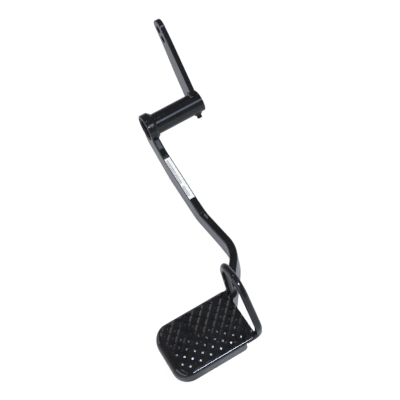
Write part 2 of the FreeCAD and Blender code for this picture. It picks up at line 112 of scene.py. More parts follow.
class Graph:
    """Short way to add and join the nodes of one node tree."""

    def __init__(self, tree: bpy.types.NodeTree) -> None:
        """Keeps the tree that the nodes go into."""
        self.tree = tree

    def node(self, kind: str, *sources: object, **settings: object) -> bpy.types.Node:
        """Adds a node, sets its own properties and feeds its first inputs.

        Args:
            kind: Blender's name for the node type.
            sources: sockets or values for the first inputs, in order.
            settings: property names and values.

        Returns:
            The new node.
        """
        made = self.tree.nodes.new(kind)
        for name, value in settings.items():
            setattr(made, name, value)
        for socket, source in zip(made.inputs, sources):
            self.feed(socket, source)
        return made

    def feed(self, socket: bpy.types.NodeSocket, source: object) -> None:
        """Links a socket, or sets its value where the source is a plain value.

        Args:
            socket: the input to feed.
            source: another socket, or a value.
        """
        if isinstance(source, bpy.types.NodeSocket):
            self.tree.links.new(source, socket)
        else:
            socket.default_value = source

    def supply(self, made: bpy.types.Node, sources: dict[str, object]) -> bpy.types.Node:
        """Feeds a node's inputs by their names.

        Args:
            made: the node.
            sources: a socket or value for each input's name.

        Returns:
            The same node.
        """
        for name, source in sources.items():
            self.feed(made.inputs[name], source)
        return made

    def math(self, operation: str, *sources: object, clamp: bool = False) -> bpy.types.NodeSocket:
        """Adds a scalar operation on sockets or numbers and returns its result."""
        return self.node("ShaderNodeMath", *sources, operation=operation, use_clamp=clamp).outputs[0]

    def vector(self, operation: str, *sources: object) -> bpy.types.NodeSocket:
        """Adds a vector operation and returns its vector, or its number for a length."""
        made = self.node("ShaderNodeVectorMath", *sources, operation=operation)
        return made.outputs[1 if operation == "LENGTH" else 0]

    def ramp(self, value: object, low: float, high: float, to_low: float,
             to_high: float) -> bpy.types.NodeSocket:
        """Maps one range of a value smoothly on another.

        Args:
            value: the value's socket.
            low: value at the range's start.
            high: value at its end.
            to_low: result at the start.
            to_high: result at the end.

        Returns:
            The result's socket.
        """
        sources = (value, low, high, to_low, to_high)
        return self.node("ShaderNodeMapRange", *sources, interpolation_type="SMOOTHSTEP").outputs["Result"]

    def noise(self, coords: object, scale: float, detail: float = 3.0) -> bpy.types.NodeSocket:
        """Adds a noise pattern of a scale per metre and returns its value."""
        made = self.node("ShaderNodeTexNoise")
        return self.supply(made, {"Vector": coords, "Scale": scale, "Detail": detail}).outputs["Fac"]

    def mix(self, factor: object, first: object, second: object) -> bpy.types.NodeSocket:
        """Mixes two colours.

        Args:
            factor: how far the result goes to the second.
            first: colour at 0.
            second: colour at 1.

        Returns:
            The mixed colour.
        """
        made = self.node("ShaderNodeMix", data_type="RGBA")
        self.feed(made.inputs["Factor"], factor)
        self.feed(made.inputs[6], first)
        self.feed(made.inputs[7], second)
        return made.outputs[2]

    def bump(self, height: object, strength: float, distance: float,
             normal: object = None) -> bpy.types.NodeSocket:
        """Adds a bump.

        Args:
            height: the height's socket.
            strength: share of the bump that shows.
            distance: height in metres.
            normal: an earlier bump that this one lies on.

        Returns:
            The bumped normal's socket.
        """
        made = self.node("ShaderNodeBump")
        self.supply(made, {"Strength": strength, "Distance": distance, "Height": height})
        if normal is not None:
            self.feed(made.inputs["Normal"], normal)
        return made.outputs["Normal"]

    def close(self, instances: object, paint: object, smooth: bool) -> None:
        """Ends a Geometry Nodes tree: makes its instances real, shades them and paints them.

        Args:
            instances: what the tree has laid.
            paint: the material's socket.
            smooth: whether the faces are shaded smooth.
        """
        real = self.node("GeometryNodeRealizeInstances", instances)
        shaded = self.supply(self.node("GeometryNodeSetShadeSmooth"),
                             {"Geometry": real.outputs[0], "Shade Smooth": smooth})
        painted = self.supply(self.node("GeometryNodeSetMaterial"),
                              {"Geometry": shaded.outputs[0], "Material": paint})
        self.node("NodeGroupOutput", painted.outputs[0])


def new_surface(name: str) -> tuple[bpy.types.Material, Graph, bpy.types.Node, bpy.types.NodeSocket]:
    """Makes an empty material with a Principled shader.

    Args:
        name: the material's name.

    Returns:
        The material, its graph, the shader and the Object coordinates.
    """
    material = bpy.data.materials.new(name)
    material.use_nodes = True
    material.node_tree.nodes.clear()
    graph = Graph(material.node_tree)
    shader = graph.node("ShaderNodeBsdfPrincipled")
    graph.node("ShaderNodeOutputMaterial", shader.outputs["BSDF"])
    coords = graph.node("ShaderNodeTexCoord").outputs["Object"]
    return material, graph, shader, coords


def opaque(colour: Triple, share: float = 1.0) -> tuple[float, ...]:
    """Returns a colour times a share, with full alpha."""
    return (*(part * share for part in colour), 1.0)


@dataclass(frozen=True)
class GlossPaint:
    """Sprayed gloss black with a faint orange peel, a few dust specks and, where given, one scuff."""

    name: str
    base: Triple = (0.0075, 0.0075, 0.0085)
    roughness: float = 0.1
    smoother: float = 0.03
    rougher: float = 0.05
    ior: float = 1.5
    coat: float = 0.25
    coat_roughness: float = 0.06
    clouded: float = 1.35
    cloud_scale: float = 70.0
    cloud_span: Span = (0.35, 0.65)
    peel_scale: float = 260.0
    peel_detail: float = 1.5
    peel_strength: float = 0.01
    peel_depth: float = 0.05 * MM
    dust: float = 0.03
    dust_colour: Triple = (0.22, 0.22, 0.21)
    dust_roughness: float = 0.4
    dust_scale: float = 430.0
    speck_reach: Span = (0.03, 0.11)
    dust_patch_scale: float = 160.0
    dust_patch_detail: float = 2.0
    dust_patch: Span = (0.55, 0.68)
    scuff_at: Triple | None = None
    scuff_size: Triple = (4.6 * MM, 1.5 * MM, 6.0 * MM)
    scuff_colour: Triple = (0.16, 0.16, 0.165)
    scuff_share: float = 0.55
    scuff_roughness: float = 0.22
    scuff_depth: float = 0.12 * MM
    scuff_strength: float = 0.8
    scuff_grain: float = 900.0
    scuff_ragged: float = 1.6
    scuff_edge: Span = (0.55, 0.95)

    def build(self) -> bpy.types.Material:
        """Builds the paint's node material.

        Returns:
            The material.
        """
        material, graph, shader, coords = new_surface(self.name)
        broad = graph.noise(coords, self.cloud_scale)
        rough = graph.ramp(broad, *MID_NOISE, self.roughness - self.smoother, self.roughness + self.rougher)
        tint = graph.mix(graph.ramp(broad, *self.cloud_span, 0.0, 1.0), opaque(self.base),
                         opaque(self.base, self.clouded))
        tint, rough = self.add_dust(graph, coords, tint, rough)
        peel = graph.noise(coords, self.peel_scale, self.peel_detail)
        normal = graph.bump(peel, self.peel_strength, self.peel_depth)
        if self.scuff_at is not None:
            tint, rough, normal = self.add_scuff(graph, coords, tint, rough, normal)
        graph.supply(shader, {"Base Color": tint, "Roughness": rough, "Normal": normal, "IOR": self.ior,
                              "Coat Weight": self.coat, "Coat Roughness": self.coat_roughness})
        return material

    def add_dust(self, graph: Graph, coords: object, tint: object, rough: object) -> tuple[object, object]:
        """Lays small pale specks over the paint.

        Args:
            graph: the paint's graph.
            coords: the Object coordinates.
            tint: colour under the dust.
            rough: roughness under it.

        Returns:
            The new colour and roughness.
        """
        cells = graph.supply(graph.node("ShaderNodeTexVoronoi", feature="F1"),
                             {"Vector": coords, "Scale": self.dust_scale})
        speck = graph.ramp(cells.outputs["Distance"], *self.speck_reach, 1.0, 0.0)
        spread = graph.noise(coords, self.dust_patch_scale, self.dust_patch_detail)
        patch = graph.ramp(spread, *self.dust_patch, 0.0, self.dust)
        amount = graph.math("MULTIPLY", speck, patch, clamp=True)
        tint = graph.mix(amount, tint, opaque(self.dust_colour))
        rough = graph.math("ADD", rough, graph.math("MULTIPLY", amount, self.dust_roughness), clamp=True)
        return tint, rough

    def add_scuff(self, graph: Graph, coords: object, tint: object, rough: object,
                  normal: object) -> tuple[object, object, object]:
        """Rubs the paint thin in one small place.

        Args:
            graph: the paint's graph.
            coords: the Object coordinates.
            tint: colour before the scuff.
            rough: roughness before it.
            normal: normal before it.

        Returns:
            The new colour, roughness and normal.
        """
        offset = graph.vector("SUBTRACT", coords, self.scuff_at)
        reach = graph.vector("LENGTH", graph.vector("DIVIDE", offset, self.scuff_size))
        ragged = graph.noise(coords, self.scuff_grain)
        swing = graph.math("MULTIPLY", graph.math("SUBTRACT", ragged, 0.5), self.scuff_ragged)
        amount = graph.ramp(graph.math("ADD", reach, swing), *self.scuff_edge, 1.0, 0.0)
        tint = graph.mix(graph.math("MULTIPLY", amount, self.scuff_share), tint, opaque(self.scuff_colour))
        rough = graph.math("ADD", rough, graph.math("MULTIPLY", amount, self.scuff_roughness), clamp=True)
        pits = graph.math("MULTIPLY", amount, ragged)
        return tint, rough, graph.bump(pits, self.scuff_strength, -self.scuff_depth, normal)


@dataclass(frozen=True)
class TurnedBronze:
    """Oiled bearing bronze with the fine rings of turning."""

    name: str = "turned_bronze"
    base: Triple = (0.36, 0.22, 0.10)
    roughness: Span = (0.28, 0.46)
    stained: float = 0.45
    stain_scale: float = 210.0
    stain_detail: float = 4.0
    stain_span: Span = (0.35, 0.7)
    ring_scale: float = 420.0
    ring_wobble: float = 0.6
    ring_strength: float = 0.25
    ring_depth: float = 0.03 * MM

    def build(self) -> bpy.types.Material:
        """Builds the bronze's node material.

        Returns:
            The material.
        """
        material, graph, shader, coords = new_surface(self.name)
        rings = graph.supply(graph.node("ShaderNodeTexWave", wave_type="BANDS", bands_direction="Y"),
                             {"Vector": coords, "Scale": self.ring_scale, "Distortion": self.ring_wobble})
        stain = graph.noise(coords, self.stain_scale, self.stain_detail)
        share = graph.ramp(stain, *self.stain_span, 0.0, 1.0)
        graph.supply(shader, {
            "Base Color": graph.mix(share, opaque(self.base), opaque(self.base, self.stained)),
            "Roughness": graph.ramp(stain, *MID_NOISE, *self.roughness),
            "Normal": graph.bump(rings.outputs["Fac"], self.ring_strength, self.ring_depth),
            "Metallic": 1.0})
        return material


@dataclass(frozen=True)
class SealRubber:
    """Moulded rubber with a dry bloom."""

    name: str = "seal_rubber_moulded"
    base: Triple = (0.016, 0.016, 0.017)
    roughness: Span = (0.42, 0.6)
    bloomed: float = 2.4
    bloom_scale: float = 300.0
    bloom_span: Span = (0.45, 0.75)
    grain_scale: float = 2400.0
    grain_strength: float = 0.3
    grain_depth: float = 0.03 * MM

    def build(self) -> bpy.types.Material:
        """Builds the rubber's node material.

        Returns:
            The material.
        """
        material, graph, shader, coords = new_surface(self.name)
        grain = graph.noise(coords, self.grain_scale)
        bloom = graph.noise(coords, self.bloom_scale)
        share = graph.ramp(bloom, *self.bloom_span, 0.0, 1.0)
        graph.supply(shader, {
            "Base Color": graph.mix(share, opaque(self.base), opaque(self.base, self.bloomed)),
            "Roughness": graph.ramp(bloom, *MID_NOISE, *self.roughness),
            "Normal": graph.bump(grain, self.grain_strength, self.grain_depth)})
        return material


@dataclass(frozen=True)
class LabelPaper:
    """Plain white label, faintly creased, with ruled lines and a thin yellowish strip of painted shade along
    its inboard edge, where it turns down over the arm's rounded edge.
    """

    name: str = "ruled_label"
    start: Triple = (31.2 * MM, -27.6 * MM, -19.0 * MM)
    slope: float = -14.7
    base: Triple = (0.86, 0.85, 0.82)
    roughness: Span = (0.5, 0.58)
    worn: float = 0.98
    fibre_scale: float = 1500.0
    crease_scale: float = 260.0
    crease_detail: float = 2.0
    crease_strength: float = 0.05
    crease_depth: float = 0.25 * MM
    # painted shade: the darker yellowish colour, share and place of the strip along the label's inboard edge
    painted_edge_shade: Triple = (0.30, 0.28, 0.17)
    painted_edge_shade_share: float = 0.8
    painted_edge_shade_across: float = 2.5 * MM
    painted_edge_shade_fade: float = 0.1 * MM
    ink: Triple = (0.05, 0.05, 0.055)
    ink_share: float = 0.75
    rule_across: Span = (-0.9 * MM, -2.3 * MM)
    rule_half: float = 0.36 * MM
    rule_fade: Span = (0.7, 1.3)
    rule_spans: tuple[Span, ...] = ((2.0 * MM, 31.5 * MM), (35.0 * MM, 47.5 * MM))

    def build(self) -> bpy.types.Material:
        """Builds the label's node material.

        Returns:
            The material.
        """
        material, graph, shader, coords = new_surface(self.name)
        turn = graph.supply(graph.node("ShaderNodeMapping", vector_type="TEXTURE"),
                            {"Vector": coords, "Location": self.start,
                             "Rotation": (0.0, math.radians(-self.slope), 0.0)}).outputs[0]
        along, across, _ = graph.node("ShaderNodeSeparateXYZ", turn).outputs
        fibre = graph.noise(coords, self.fibre_scale)
        crease = graph.noise(turn, self.crease_scale, self.crease_detail)
        paper = graph.mix(graph.ramp(fibre, *MID_NOISE, 0.0, 1.0), opaque(self.base),
                          opaque(self.base, self.worn))
        # painted shade: the paper is darkened to a yellowish grey along its inboard edge, where the label
        # turns down
        begin, end = self.painted_edge_shade_across - self.painted_edge_shade_fade, self.painted_edge_shade_across + self.painted_edge_shade_fade
        paper = graph.mix(graph.ramp(across, begin, end, 0.0, self.painted_edge_shade_share), paper, opaque(self.painted_edge_shade))
        graph.supply(shader, {
            "Base Color": graph.mix(self.rules(graph, along, across), paper, opaque(self.ink)),
            "Roughness": graph.ramp(fibre, *MID_NOISE, *self.roughness),
            "Normal": graph.bump(crease, self.crease_strength, self.crease_depth)})
        return material

    def rules(self, graph: Graph, along: object, across: object) -> object:
        """Draws the ruled lines.

        Args:
            graph: the label's graph.
            along: how far a point lies along the label.
            across: how far it lies across it.

        Returns:
            How much ink lies at the point.
        """
        total: object = 0.0
        inner, outer = (self.rule_half * share for share in self.rule_fade)
        for place in self.rule_across:
            away = graph.math("ABSOLUTE", graph.math("SUBTRACT", across, place))
            line = graph.ramp(away, inner, outer, 1.0, 0.0)
            for begin, end in self.rule_spans:
                inside = graph.math("MULTIPLY", graph.math("GREATER_THAN", along, begin),
                                    graph.math("LESS_THAN", along, end))
                total = graph.math("MAXIMUM", total, graph.math("MULTIPLY", line, inside))
        return graph.math("MULTIPLY", total, self.ink_share, clamp=True)


@dataclass(frozen=True)
class WeldRun:
    """One run of weld: its path, and the size and lie of its ripples.

    The ripples face away from the focus, a point inside the joint.
    """

    name: str
    points: tuple[Triple, ...]
    closed: bool
    focus: Triple
    width: float
    pitch: float = 1.35 * MM
    rise: float = 0.62 * MM
    seed: int = 1

    def path(self) -> bpy.types.Object:
        """Makes the run's path.

        Returns:
            The curve object.
        """
        curve = bpy.data.curves.new(self.name + "_path", "CURVE")
        curve.dimensions = "3D"
        spline = curve.splines.new("POLY")
        spline.points.add(len(self.points) - 1)
        for target, point in zip(spline.points, self.points):
            target.co = (*point, 1.0)
        spline.use_cyclic_u = self.closed
        made = bpy.data.objects.new(self.name, curve)
        bpy.context.scene.collection.objects.link(made)
        return made


class LaidTree:
    """Geometry Nodes tree that lays one shape many times, with named inputs for its sizes."""

    NAME = "laid"
    INPUTS: tuple[tuple[str, str], ...] = ()

    def __init__(self) -> None:
        """Builds the tree once for every run."""
        self.tree = bpy.data.node_groups.new(self.NAME, "GeometryNodeTree")
        self.keys: dict[str, str] = {}
        for name, kind in self.INPUTS:
            socket = self.tree.interface.new_socket(name=name, in_out="INPUT", socket_type=kind)
            self.keys[name] = socket.identifier
        self.tree.interface.new_socket(name="Laid", in_out="OUTPUT", socket_type="NodeSocketGeometry")
        self.graph = Graph(self.tree)
        self.given = self.graph.node("NodeGroupInput").outputs
        self.wire()

    def wire(self) -> None:
        """Adds and joins the tree's nodes, in each kind of tree."""
        raise NotImplementedError

    def run(self, holder: bpy.types.Object, values: dict[str, object], name: str) -> bpy.types.Object:
        """Runs the tree on an object, drops that object and keeps what the tree gives.

        Args:
            holder: the object that the tree starts from.
            values: a value for each input's name.
            name: the new object's name.

        Returns:
            The new object, a plain mesh at the origin.
        """
        modifier = holder.modifiers.new(self.NAME, "NODES")
        modifier.node_group = self.tree
        for label, value in values.items():
            modifier[self.keys[label]] = value
        made = plain_copy(holder, name)
        bpy.data.objects.remove(holder)
        return made


class RippleTree(LaidTree):
    """Tree that lays overlapping weld ripples along a curve."""

    NAME = "weld_ripples"
    INPUTS = (("Path", "NodeSocketGeometry"), ("Pitch", "NodeSocketFloat"), ("Width", "NodeSocketFloat"),
              ("Rise", "NodeSocketFloat"), ("Tilt", "NodeSocketFloat"), ("Focus", "NodeSocketVector"),
              ("Seed", "NodeSocketInt"), ("Paint", "NodeSocketMaterial"))
    NARROWEST = 0.88
    WIDEST = 1.1
    OVERLAP = 1.2
    SEGMENTS = 12
    RINGS = 8
    TILT = -24.0

    def wire(self) -> None:
        """Adds and joins the tree's nodes."""
        graph, given = self.graph, self.given
        points = graph.supply(graph.node("GeometryNodeCurveToPoints", mode="LENGTH"),
                              {"Curve": given["Path"], "Length": given["Pitch"]}).outputs
        place = graph.node("GeometryNodeInputPosition").outputs[0]
        outward = graph.vector("NORMALIZE", graph.vector("SUBTRACT", place, given["Focus"]))
        facing = graph.supply(graph.node("FunctionNodeAlignRotationToVector", axis="Z"), {"Vector": outward})
        running = graph.supply(graph.node("FunctionNodeAlignRotationToVector", axis="X", pivot_axis="Z"),
                               {"Rotation": facing.outputs[0], "Vector": points["Tangent"]})
        tilt = graph.supply(graph.node("FunctionNodeAxisAngleToRotation"),
                            {"Axis": (0.0, 1.0, 0.0), "Angle": given["Tilt"]})
        turned = graph.node("FunctionNodeRotateRotation", running.outputs[0], tilt.outputs[0],
                            rotation_space="LOCAL")
        chance = graph.supply(graph.node("FunctionNodeRandomValue", data_type="FLOAT"),
                              {"Seed": given["Seed"]})
        graph.feed(chance.inputs[2], self.NARROWEST)
        graph.feed(chance.inputs[3], self.WIDEST)
        size = graph.node("ShaderNodeCombineXYZ", graph.math("MULTIPLY", given["Pitch"], self.OVERLAP),
                          graph.math("MULTIPLY", given["Width"], chance.outputs[1]), given["Rise"])
        ball = graph.supply(graph.node("GeometryNodeMeshUVSphere"),
                            {"Segments": self.SEGMENTS, "Rings": self.RINGS, "Radius": 1.0})
        laid = graph.supply(graph.node("GeometryNodeInstanceOnPoints"),
                            {"Points": points["Points"], "Instance": ball.outputs["Mesh"],
                             "Rotation": turned.outputs[0], "Scale": size.outputs[0]})
        graph.close(laid.outputs[0], given["Paint"], True)

    def lay(self, run: WeldRun, paint: bpy.types.Material) -> bpy.types.Object:
        """Lays one run's ripples as a plain mesh.

        Args:
            run: the run of weld.
            paint: what covers it.

        Returns:
            The finished piece, riding on the pedal.
        """
        path = run.path()
        curve = path.data
        values = {"Pitch": run.pitch, "Width": run.width / 2, "Rise": run.rise,
                  "Tilt": math.radians(self.TILT), "Focus": run.focus, "Seed": run.seed, "Paint": paint}
        piece = self.run(path, values, run.name)
        bpy.data.curves.remove(curve)
        piece.name = run.name
        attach(piece, ROOT)
        return piece


def plain_copy(source: bpy.types.Object, name: str) -> bpy.types.Object:
    """Makes a plain mesh object of what an object's modifiers give.

    Args:
        source: the object with live modifiers.
        name: the new piece's name.

    Returns:
        The new object at the origin.
    """
    graph = bpy.context.evaluated_depsgraph_get()
    graph.update()
    mesh = bpy.data.meshes.new_from_object(source.evaluated_get(graph), depsgraph=graph)
    mesh.name = name
    made = bpy.data.objects.new(name, mesh)
    bpy.context.scene.collection.objects.link(made)
    return made


def round_path(centre: Triple, radius: float, first: float, last: float, axis: Vector,
               count: int) -> tuple[Triple, ...]:
    """Finds points on an arc round an axis. Round the pivot axis, 0 is forward and 90 is up.

    Args:
        centre: the arc's centre.
        radius: its radius.
        first: its first angle in degrees.
        last: its last angle in degrees.
        axis: what it turns round.
        count: how many points it has.

    Returns:
        The points in order.
    """
    side = Vector((1, 0, 0)) if axis == PIVOT_AXIS else axis.orthogonal().normalized()
    points = []
    for step in range(count):
        angle = math.radians(first + (last - first) * step / (count - 1))
        turned = Matrix.Rotation(-angle, 3, axis) @ side
        points.append(tuple(Vector(centre) + turned * radius))
    return tuple(points)


def dress(nodes: Nodes, names: tuple[str, ...], material: bpy.types.Material) -> None:
    """Gives nodes of the frame a finish in every slot.

    Args:
        nodes: the frame's nodes.
        names: which of them.
        material: the finish.
    """
    for name in names:
        for slot in nodes[name].material_slots:
            slot.material = material


@dataclass
class PivotHousing:
    """Tube, bushes, seals and the weld that holds the eye."""

    tube_radius: float = 11.0 * MM
    eye_inner_y: float = -23.7 * MM
    eye_bead: float = 2.6 * MM
    ripple_share: float = 1.2
    ripple_end: float = 354.0
    path_points: int = 60

    def dress(self, nodes: Nodes, paint: bpy.types.Material) -> None:
        """Gives every node of the housing its finish.

        Args:
            nodes: the frame's nodes.
            paint: what covers the tube and its weld.
        """
        dress(nodes, ("pivot_tube", "eye_weld"), paint)
        dress(nodes, ("outer_bush", "inner_bush"), TurnedBronze().build())
        dress(nodes, ("outer_dust_seal", "inner_dust_seal"), SealRubber().build())
        LOG.info("pivot housing dressed")

    def weld_runs(self) -> list[WeldRun]:
        """Plans the ripples round the eye.

        Returns:
            Its one run.
        """
        reach = self.tube_radius + self.eye_bead * BEAD_LIFT
        y = self.eye_inner_y + self.eye_bead * BEAD_LIFT
        points = round_path((0, y, 0), reach, 0, self.ripple_end, PIVOT_AXIS, self.path_points)
        return [WeldRun(name="eye_weld_ripples", points=points, closed=True, focus=(0, y - reach, 0),
                        width=self.eye_bead * self.ripple_share, seed=3)]


@dataclass
class BrakeLever:
    """Flat lever with its two holes, and the welds at its root."""

    outer_y: float = 24.8 * MM
    thickness: float = 5.4 * MM
    tube_radius: float = 11.0 * MM
    bead: float = 2.6 * MM
    inboard_bead: float = 1.3 * MM
    start: float = 81.9
    sweep: float = 120.0
    end_gap: float = 3.0
    ripple_share: float = 1.15
    path_points: int = 24

    def dress(self, nodes: Nodes, paint: bpy.types.Material) -> None:
        """Gives the lever and its welds their paint."""
        dress(nodes, ("actuating_lever", "lever_weld_outboard", "lever_weld_inboard"), paint)
        LOG.info("lever dressed")

    def weld_runs(self) -> list[WeldRun]:
        """Plans the ripples on both sides of the lever.

        Returns:
            One run for each side.
        """
        runs = []
        first, last = self.start + self.end_gap, self.start + self.sweep - self.end_gap
        sides = (("outboard", self.outer_y, -1, self.bead),
                 ("inboard", self.outer_y + self.thickness, 1, self.inboard_bead))
        for side, y, sign, bead in sides:
            reach = self.tube_radius + bead * BEAD_LIFT
            place = y + sign * bead * BEAD_LIFT
            points = round_path((0, place, 0), reach, first, last, PIVOT_AXIS, self.path_points)
            runs.append(WeldRun(name="lever_weld_ripples_" + side, points=points, closed=False,
                                focus=(0, place - sign * reach, 0), width=bead * self.ripple_share, seed=11))
        return runs


@dataclass
class SpringPeg:
    """Peg under the tube, and the bead round its foot."""

    angle: float = -51.3
    y: float = 24.4 * MM
    tube_radius: float = 11.0 * MM
    foot_radius: float = 3.1 * MM
    bead: float = 1.5 * MM
    bead_up: float = 0.25
    bead_out: float = 0.35
    ripple_share: float = 1.1
    ripple_pitch: float = 1.1 * MM
    ripple_rise: float = 0.4 * MM
    ripple_end: float = 345.0
    path_points: int = 24

    def dress(self, nodes: Nodes, paint: bpy.types.Material) -> None:
        """Gives the peg and its weld their paint."""
        dress(nodes, ("spring_peg", "peg_weld"), paint)
        LOG.info("spring peg dressed")

    def weld_runs(self) -> list[WeldRun]:
        """Plans the ripples round the peg's foot.

        Returns:
            Its one run.
        """
        turn = math.radians(self.angle)
        out = Vector((math.cos(turn), 0, math.sin(turn)))
        base = Vector((0, self.y, 0)) + out * (self.tube_radius + self.bead * self.bead_up)
        reach = self.foot_radius + self.bead * self.bead_out
        focus = base - out * reach
        points = round_path(tuple(base), reach, 0, self.ripple_end, out, self.path_points)
        return [WeldRun(name="peg_weld_ripples", points=points, closed=True, focus=tuple(focus),
                        width=self.bead * self.ripple_share, pitch=self.ripple_pitch, rise=self.ripple_rise,
                        seed=7)]


@dataclass
class PedalArm:
    """Cranked bar with its eye, and the label on its top edge."""

    scuff_at: Triple = (103.5 * MM, -26.2 * MM, -37.6 * MM)

    def dress(self, nodes: Nodes) -> None:
        """Gives the arm its scuffed paint and the label its paper.

        Args:
            nodes: the frame's nodes.
        """
        dress(nodes, ("pedal_arm",), GlossPaint(name="arm_paint", scuff_at=self.scuff_at).build())
        dress(nodes, ("arm_label",), LabelPaper().build())
        LOG.info("arm dressed")


class DiamondTree(LaidTree):
    """Tree that lays staggered rows of flat-topped pyramids, each a closed solid."""

    NAME = "pressed_diamonds"
    INPUTS = (("Step X", "NodeSocketFloat"), ("Step Y", "NodeSocketFloat"), ("Height", "NodeSocketFloat"),
              ("Flat", "NodeSocketFloat"), ("Shoulder", "NodeSocketFloat"),
              ("Shoulder Rise", "NodeSocketFloat"), ("Foot", "NodeSocketFloat"),
              ("Origin", "NodeSocketVector"), ("Rows", "NodeSocketInt"), ("Low", "NodeSocketVector"),
              ("High", "NodeSocketVector"), ("Paint", "NodeSocketMaterial"))
    SIDES = 4
    MERGE_DISTANCE = 0.001

    def halves(self) -> list[object]:
        """Returns half of each step."""
        return [self.graph.math("MULTIPLY", self.given[step], 0.5) for step in ("Step X", "Step Y")]

    def centres(self) -> object:
        """Lays the staggered centres and drops those beyond the tread.

        Returns:
            The centres' geometry.
        """
        graph = self.graph
        size = graph.math("MULTIPLY", self.given["Rows"], 2.0)
        count = graph.math("ADD", size, 1.0)
        grid = graph.supply(graph.node("GeometryNodeMeshGrid"),
                            {"Size X": size, "Size Y": size, "Vertices X": count, "Vertices Y": count})
        start = graph.node("GeometryNodeInputPosition").outputs[0]
        u, v, _ = graph.node("ShaderNodeSeparateXYZ", start).outputs
        halves = self.halves()
        spot = graph.node("ShaderNodeCombineXYZ",
                          *(graph.math("MULTIPLY", graph.math(way, u, v), half)
                            for way, half in zip(("ADD", "SUBTRACT"), halves)))
        moved = graph.supply(graph.node("GeometryNodeSetPosition"),
                             {"Geometry": grid.outputs["Mesh"],
                              "Position": graph.vector("ADD", spot.outputs[0], self.given["Origin"])})
        place = graph.node("GeometryNodeInputPosition").outputs[0]
        here, low, high = (graph.node("ShaderNodeSeparateXYZ", vector).outputs
                           for vector in (place, self.given["Low"], self.given["High"]))
        inside: object = 1.0
        for axis, half in enumerate(halves):
            for first, second in ((here, low), (high, here)):
                gap = graph.math("SUBTRACT", first[axis], second[axis])
                inside = graph.math("MINIMUM", inside, graph.math("ADD", gap, half))
        outside = graph.node("FunctionNodeCompare", data_type="FLOAT", operation="LESS_THAN")
        graph.feed(outside.inputs[0], inside)
        graph.feed(outside.inputs[1], 0.0)
        kept = graph.supply(graph.node("GeometryNodeDeleteGeometry", domain="POINT"),
                            {"Geometry": moved.outputs[0], "Selection": outside.outputs[0]})
        return kept.outputs[0]

    def tier(self, low: object, high: object, depth: object, hidden: str) -> tuple[object, object]:
        """Makes one four-sided tier of a diamond, open where it meets the other one.

        Args:
            low: radius at its foot.
            high: radius at its head.
            depth: how tall it is.
            hidden: name of the end that is left open.

        Returns:
            The tier and the choice of its bottom face.
        """
        graph = self.graph
        cone = graph.supply(graph.node("GeometryNodeMeshCone", fill_type="NGON"),
                            {"Vertices": self.SIDES, "Radius Top": high, "Radius Bottom": low,
                             "Depth": depth}).outputs
        opened = graph.supply(graph.node("GeometryNodeDeleteGeometry", domain="FACE", mode="ONLY_FACE"),
                              {"Geometry": cone["Mesh"], "Selection": cone[hidden]})
        return opened.outputs[0], cone["Bottom"]

    def diamond(self) -> object:
        """Makes one diamond of unit size, steep at its grooves and gentle above them.

        Returns:
            The diamond's geometry.
        """
        graph = self.graph
        rise, shoulder = self.given["Shoulder Rise"], self.given["Shoulder"]
        flank, bottom = self.tier(1.0, shoulder, rise, "Top")
        crown, _ = self.tier(shoulder, self.given["Flat"], graph.math("SUBTRACT", 1.0, rise), "Bottom")
        sunk = graph.math("MULTIPLY", self.given["Height"], -1.0)
        down = graph.node("ShaderNodeCombineXYZ", 0.0, 0.0, graph.math("DIVIDE", self.given["Foot"], sunk))
        up = graph.node("ShaderNodeCombineXYZ", 0.0, 0.0, rise)
        foot = graph.supply(graph.node("GeometryNodeExtrudeMesh", mode="FACES"),
                            {"Mesh": flank, "Selection": bottom, "Offset": down.outputs[0],
                             "Offset Scale": 1.0})
        lifted = graph.supply(graph.node("GeometryNodeTransform"),
                              {"Geometry": crown, "Translation": up.outputs[0]})
        both = graph.node("GeometryNodeJoinGeometry")
        for part in (foot.outputs["Mesh"], lifted.outputs[0]):
            graph.feed(both.inputs[0], part)
        merged = graph.supply(graph.node("GeometryNodeMergeByDistance", both.outputs[0]),
                              {"Distance": self.MERGE_DISTANCE})
        return merged.outputs[0]

    def wire(self) -> None:
        """Adds and joins the tree's nodes."""
        graph = self.graph
        size = graph.node("ShaderNodeCombineXYZ", *self.halves(), self.given["Height"])
        laid = graph.supply(graph.node("GeometryNodeInstanceOnPoints"),
                            {"Points": self.centres(), "Instance": self.diamond(), "Scale": size.outputs[0]})
        graph.close(laid.outputs[0], self.given["Paint"], False)


